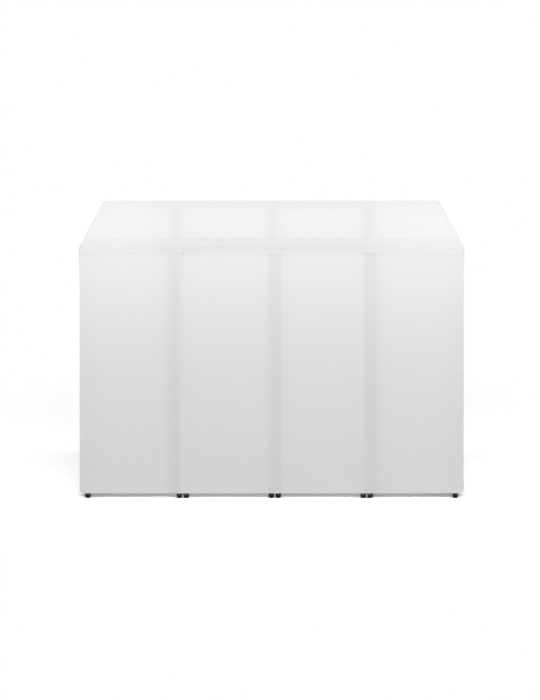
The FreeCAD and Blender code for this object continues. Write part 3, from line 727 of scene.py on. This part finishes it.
def plate_finish():
    """Enamelled pivot plates: white beside the cover's upper edge, black down between the feet, where the
    black is painted shade that matches the shadow under the hem.
    """
    finish = Finish("pivot_enamel", CLOTH_COLOUR, ENAMEL_ROUGHNESS)
    share = finish.between(finish.fade(finish.z, *ENAMEL_HEIGHTS), *ENAMEL_SHADE_AND_WHITE_SHARES)
    patches = finish.between(finish.noise(scale=90.0), *ENAMEL_PATCHES)
    finish.tone(finish.times(share, patches), CLOTH_COLOUR)
    orange_peel = finish.noise(scale=900.0)
    finish.bump(orange_peel, strength=0.1, distance=0.2 * MILLIMETRE)
    return finish.material


def board_finish():
    """White laminate with a faint pressed grain along the board."""
    colour = (0.82, 0.82, 0.81, 1)
    finish = Finish("board_laminate", colour, roughness=0.4)
    grain = finish.noise(scale=14.0, detail=5.0, stretch=(0.6, 12.0, 12.0))
    finish.tone(finish.between(grain, 0.965, 1.02), colour)
    finish.gloss(finish.between(grain, 0.36, 0.48))
    finish.bump(grain, strength=0.08, distance=0.2 * MILLIMETRE)
    return finish.material


def thread_finish():
    """White sewing thread with a twist."""
    colour = (0.86, 0.86, 0.87, 1)
    finish = Finish("sewing_thread", colour, roughness=0.6)
    twist = finish.noise(scale=2500.0, detail=1.0)
    finish.tone(finish.between(twist, 0.92, 1.02), colour)
    finish.bump(twist, strength=0.2, distance=0.1 * MILLIMETRE)
    return finish.material


FINISH = {
    "front": cloth_finish("cover_cloth_front", front_painted_shading, "x", "z"),
    "wing": cloth_finish("cover_cloth_wing", wing_painted_shading, "y", "z"),
    "top": cloth_finish("cover_cloth_top", top_painted_shading, "x", "y"),
    "frame": powder_coat(),
    "rubber": rubber_finish(),
    "cap": plastic_finish(),
    "steel": steel_finish("zinc_steel", (0.66, 0.66, 0.645, 1)),
    "screw": steel_finish("screw_steel", (0.30, 0.295, 0.28, 1)),
    "plate": plate_finish(),
    "board": board_finish(),
    "thread": thread_finish(),
}

# Which finish a CAD node gets, by how its name starts; where two fit, the later one holds
NODE_FINISHES = (
    ("front_frame", "frame"), ("wing_frame", "frame"), ("shelf_frame", "frame"),
    ("front_feet", "rubber"), ("wing_foot", "rubber"), ("front_cap", "cap"), ("wing_caps", "cap"),
    ("pivot_plates", "plate"), ("pivot_pins", "steel"), ("hinge", "steel"), ("hinge_screws", "screw"),
    ("shelf_board", "board"), ("shelf_joining_plates", "steel"), ("locating_pegs", "steel"),
)


def dress_nodes():
    """Every CAD node that stays visible gets its finish."""
    for name, node in NODES.items():
        for start, finish in NODE_FINISHES:
            if name.startswith(start):
                node.data.materials.clear()
                node.data.materials.append(FINISH[finish])


def front_pieces():
    """The four front sections."""
    along, out = Vector((1, 0, 0)), Vector((0, -1, 0))
    for number in (1, 2, 3, 4):
        node = f"front_cover_{number}"
        outer = (number == 1, number == 4)
        flare = [FRONT_CORNER_FLARE * edge for edge in outer]
        notched = (number in (2, 4), number in (1, 3))
        panel = Panel(node, along, out, FRONT_LEAN, outer, flare, notched)
        piece = panel_piece(f"cover_front_{number}", node, panel, FINISH["front"])
        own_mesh(piece)


def wing_pieces():
    """The two side sections, which stand inwards to the back."""
    slope = math.atan2(WING_TAPER, cad_box[1].y - cad_box[0].y)
    for side, sign in (("left", -1), ("right", 1)):
        node = f"wing_cover_{side}"
        along = Vector((-sign * math.sin(slope), math.cos(slope), 0))
        out = Vector((sign * math.cos(slope), math.sin(slope), 0))
        panel = Panel(node, along, out, WING_LEAN, (True, False), (WING_CORNER_FLARE, 0))
        panel_piece(f"cover_wing_{side}", node, panel, FINISH["wing"])


# Stage, light and camera
def stage_floor():
    """A pale floor that takes the booth's shadow close by, with painted light that makes it brighter to the
    eye in front of the booth's front, and is plain white to the eye further off.
    """
    corners = [Vector((x * FLOOR_HALF_SIZE, y * FLOOR_HALF_SIZE, 0))
               for x, y in ((-1, -1), (1, -1), (1, 1), (-1, 1))]
    floor = mesh_piece("studio_floor", corners, [(0, 1, 2, 3)], Vector((0, 0, 1)))
    finish = Finish("studio_floor", FLOOR_COLOUR, roughness=1.0)
    paths = finish.add("ShaderNodeLightPath")
    seen = finish.total([paths.outputs[name] for name in
                         ("Is Camera Ray", "Is Glossy Ray", "Is Transmission Ray")])
    from_middle = finish.add("ShaderNodeVectorMath", operation="LENGTH")
    finish.join(finish.place, from_middle.inputs[0])
    near = finish.fade(from_middle.outputs["Value"], *FLOOR_FADE)
    to_light = finish.add("ShaderNodeBsdfDiffuse")
    to_light.inputs["Color"].default_value = FLOOR_COLOUR
    to_eye = finish.add("ShaderNodeBsdfDiffuse")
    # Painted light: in front of the booth's front the floor is brighter to the eye, so the shadow under the
    # hem fades out
    painted_light_in_front = finish.fade(finish.y, *PAINTED_LIGHT_FADE)
    finish.join(finish.between(painted_light_in_front, FLOOR_TO_EYE, FLOOR_PAINTED_LIGHT_IN_FRONT), to_eye.inputs["Color"])
    white = finish.add("ShaderNodeEmission")
    white.inputs["Strength"].default_value = 1.0
    by_place = finish.add("ShaderNodeMixShader")
    finish.join(near, by_place.inputs[0])
    finish.join(white.outputs[0], by_place.inputs[1])
    finish.join(to_eye.outputs[0], by_place.inputs[2])
    by_ray = finish.add("ShaderNodeMixShader")
    finish.join(seen, by_ray.inputs[0])
    finish.join(to_light.outputs[0], by_ray.inputs[1])
    finish.join(by_place.outputs[0], by_ray.inputs[2])
    finish.join(by_ray.outputs[0], finish.tree.nodes["Material Output"].inputs["Surface"])
    finish.tree.nodes.remove(finish.shader)
    floor.data.materials.append(finish.material)


def studio_world():
    """Even light from all round, white to the eye."""
    world = bpy.data.worlds.new("studio")
    bpy.context.scene.world = world
    world.use_nodes = True
    tree = world.node_tree
    to_light = tree.nodes["Background"]
    to_light.inputs["Color"].default_value = WHITE
    to_light.inputs["Strength"].default_value = WORLD_STRENGTH
    to_eye = tree.nodes.new("ShaderNodeBackground")
    to_eye.inputs["Color"].default_value = WHITE
    paths = tree.nodes.new("ShaderNodeLightPath")
    camera_or_glossy = tree.nodes.new("ShaderNodeMath")
    seen = tree.nodes.new("ShaderNodeMath")
    by_ray = tree.nodes.new("ShaderNodeMixShader")
    tree.links.new(paths.outputs["Is Camera Ray"], camera_or_glossy.inputs[0])
    tree.links.new(paths.outputs["Is Glossy Ray"], camera_or_glossy.inputs[1])
    tree.links.new(camera_or_glossy.outputs[0], seen.inputs[0])
    tree.links.new(paths.outputs["Is Transmission Ray"], seen.inputs[1])
    tree.links.new(seen.outputs[0], by_ray.inputs[0])
    tree.links.new(to_light.outputs[0], by_ray.inputs[1])
    tree.links.new(to_eye.outputs[0], by_ray.inputs[2])
    tree.links.new(by_ray.outputs[0], tree.nodes["World Output"].inputs["Surface"])


def softbox(name, place, target, size, power):
    """A rectangular lamp aimed at a point."""
    lamp = bpy.data.lights.new(name, "AREA")
    lamp.shape = "RECTANGLE"
    lamp.size, lamp.size_y = size
    lamp.energy = power
    holder = bpy.data.objects.new(name, lamp)
    holder.location = place
    holder.visible_camera = False
    holder.rotation_euler = (Vector(target) - Vector(place)).to_track_quat("-Z", "Y").to_euler()
    bpy.context.scene.collection.objects.link(holder)


def studio_camera():
    """A parallel view of the front from a little above."""
    camera = bpy.data.objects.new("camera", bpy.data.cameras.new("camera"))
    camera.data.type = "ORTHO"
    camera.data.ortho_scale = IMAGE_HEIGHT / PIXELS_PER_METRE
    sight = Vector((0, math.cos(CAMERA_ELEVATION), -math.sin(CAMERA_ELEVATION)))
    up = Vector((0, math.sin(CAMERA_ELEVATION), math.cos(CAMERA_ELEVATION)))
    camera.location = Vector((VIEW_CENTRE_X, 0, 0)) + up * VIEW_CENTRE_UP - sight * CAMERA_DISTANCE
    camera.rotation_euler = sight.to_track_quat("-Z", "Y").to_euler()
    bpy.context.scene.collection.objects.link(camera)
    bpy.context.scene.camera = camera


dress_nodes()
front_pieces()
wing_pieces()
top_piece(FINISH["top"])
stage_floor()
studio_world()
softbox("overhead", **OVERHEAD)
softbox("key", **KEY)
studio_camera()
bpy.context.scene.view_settings.view_transform = "Standard"
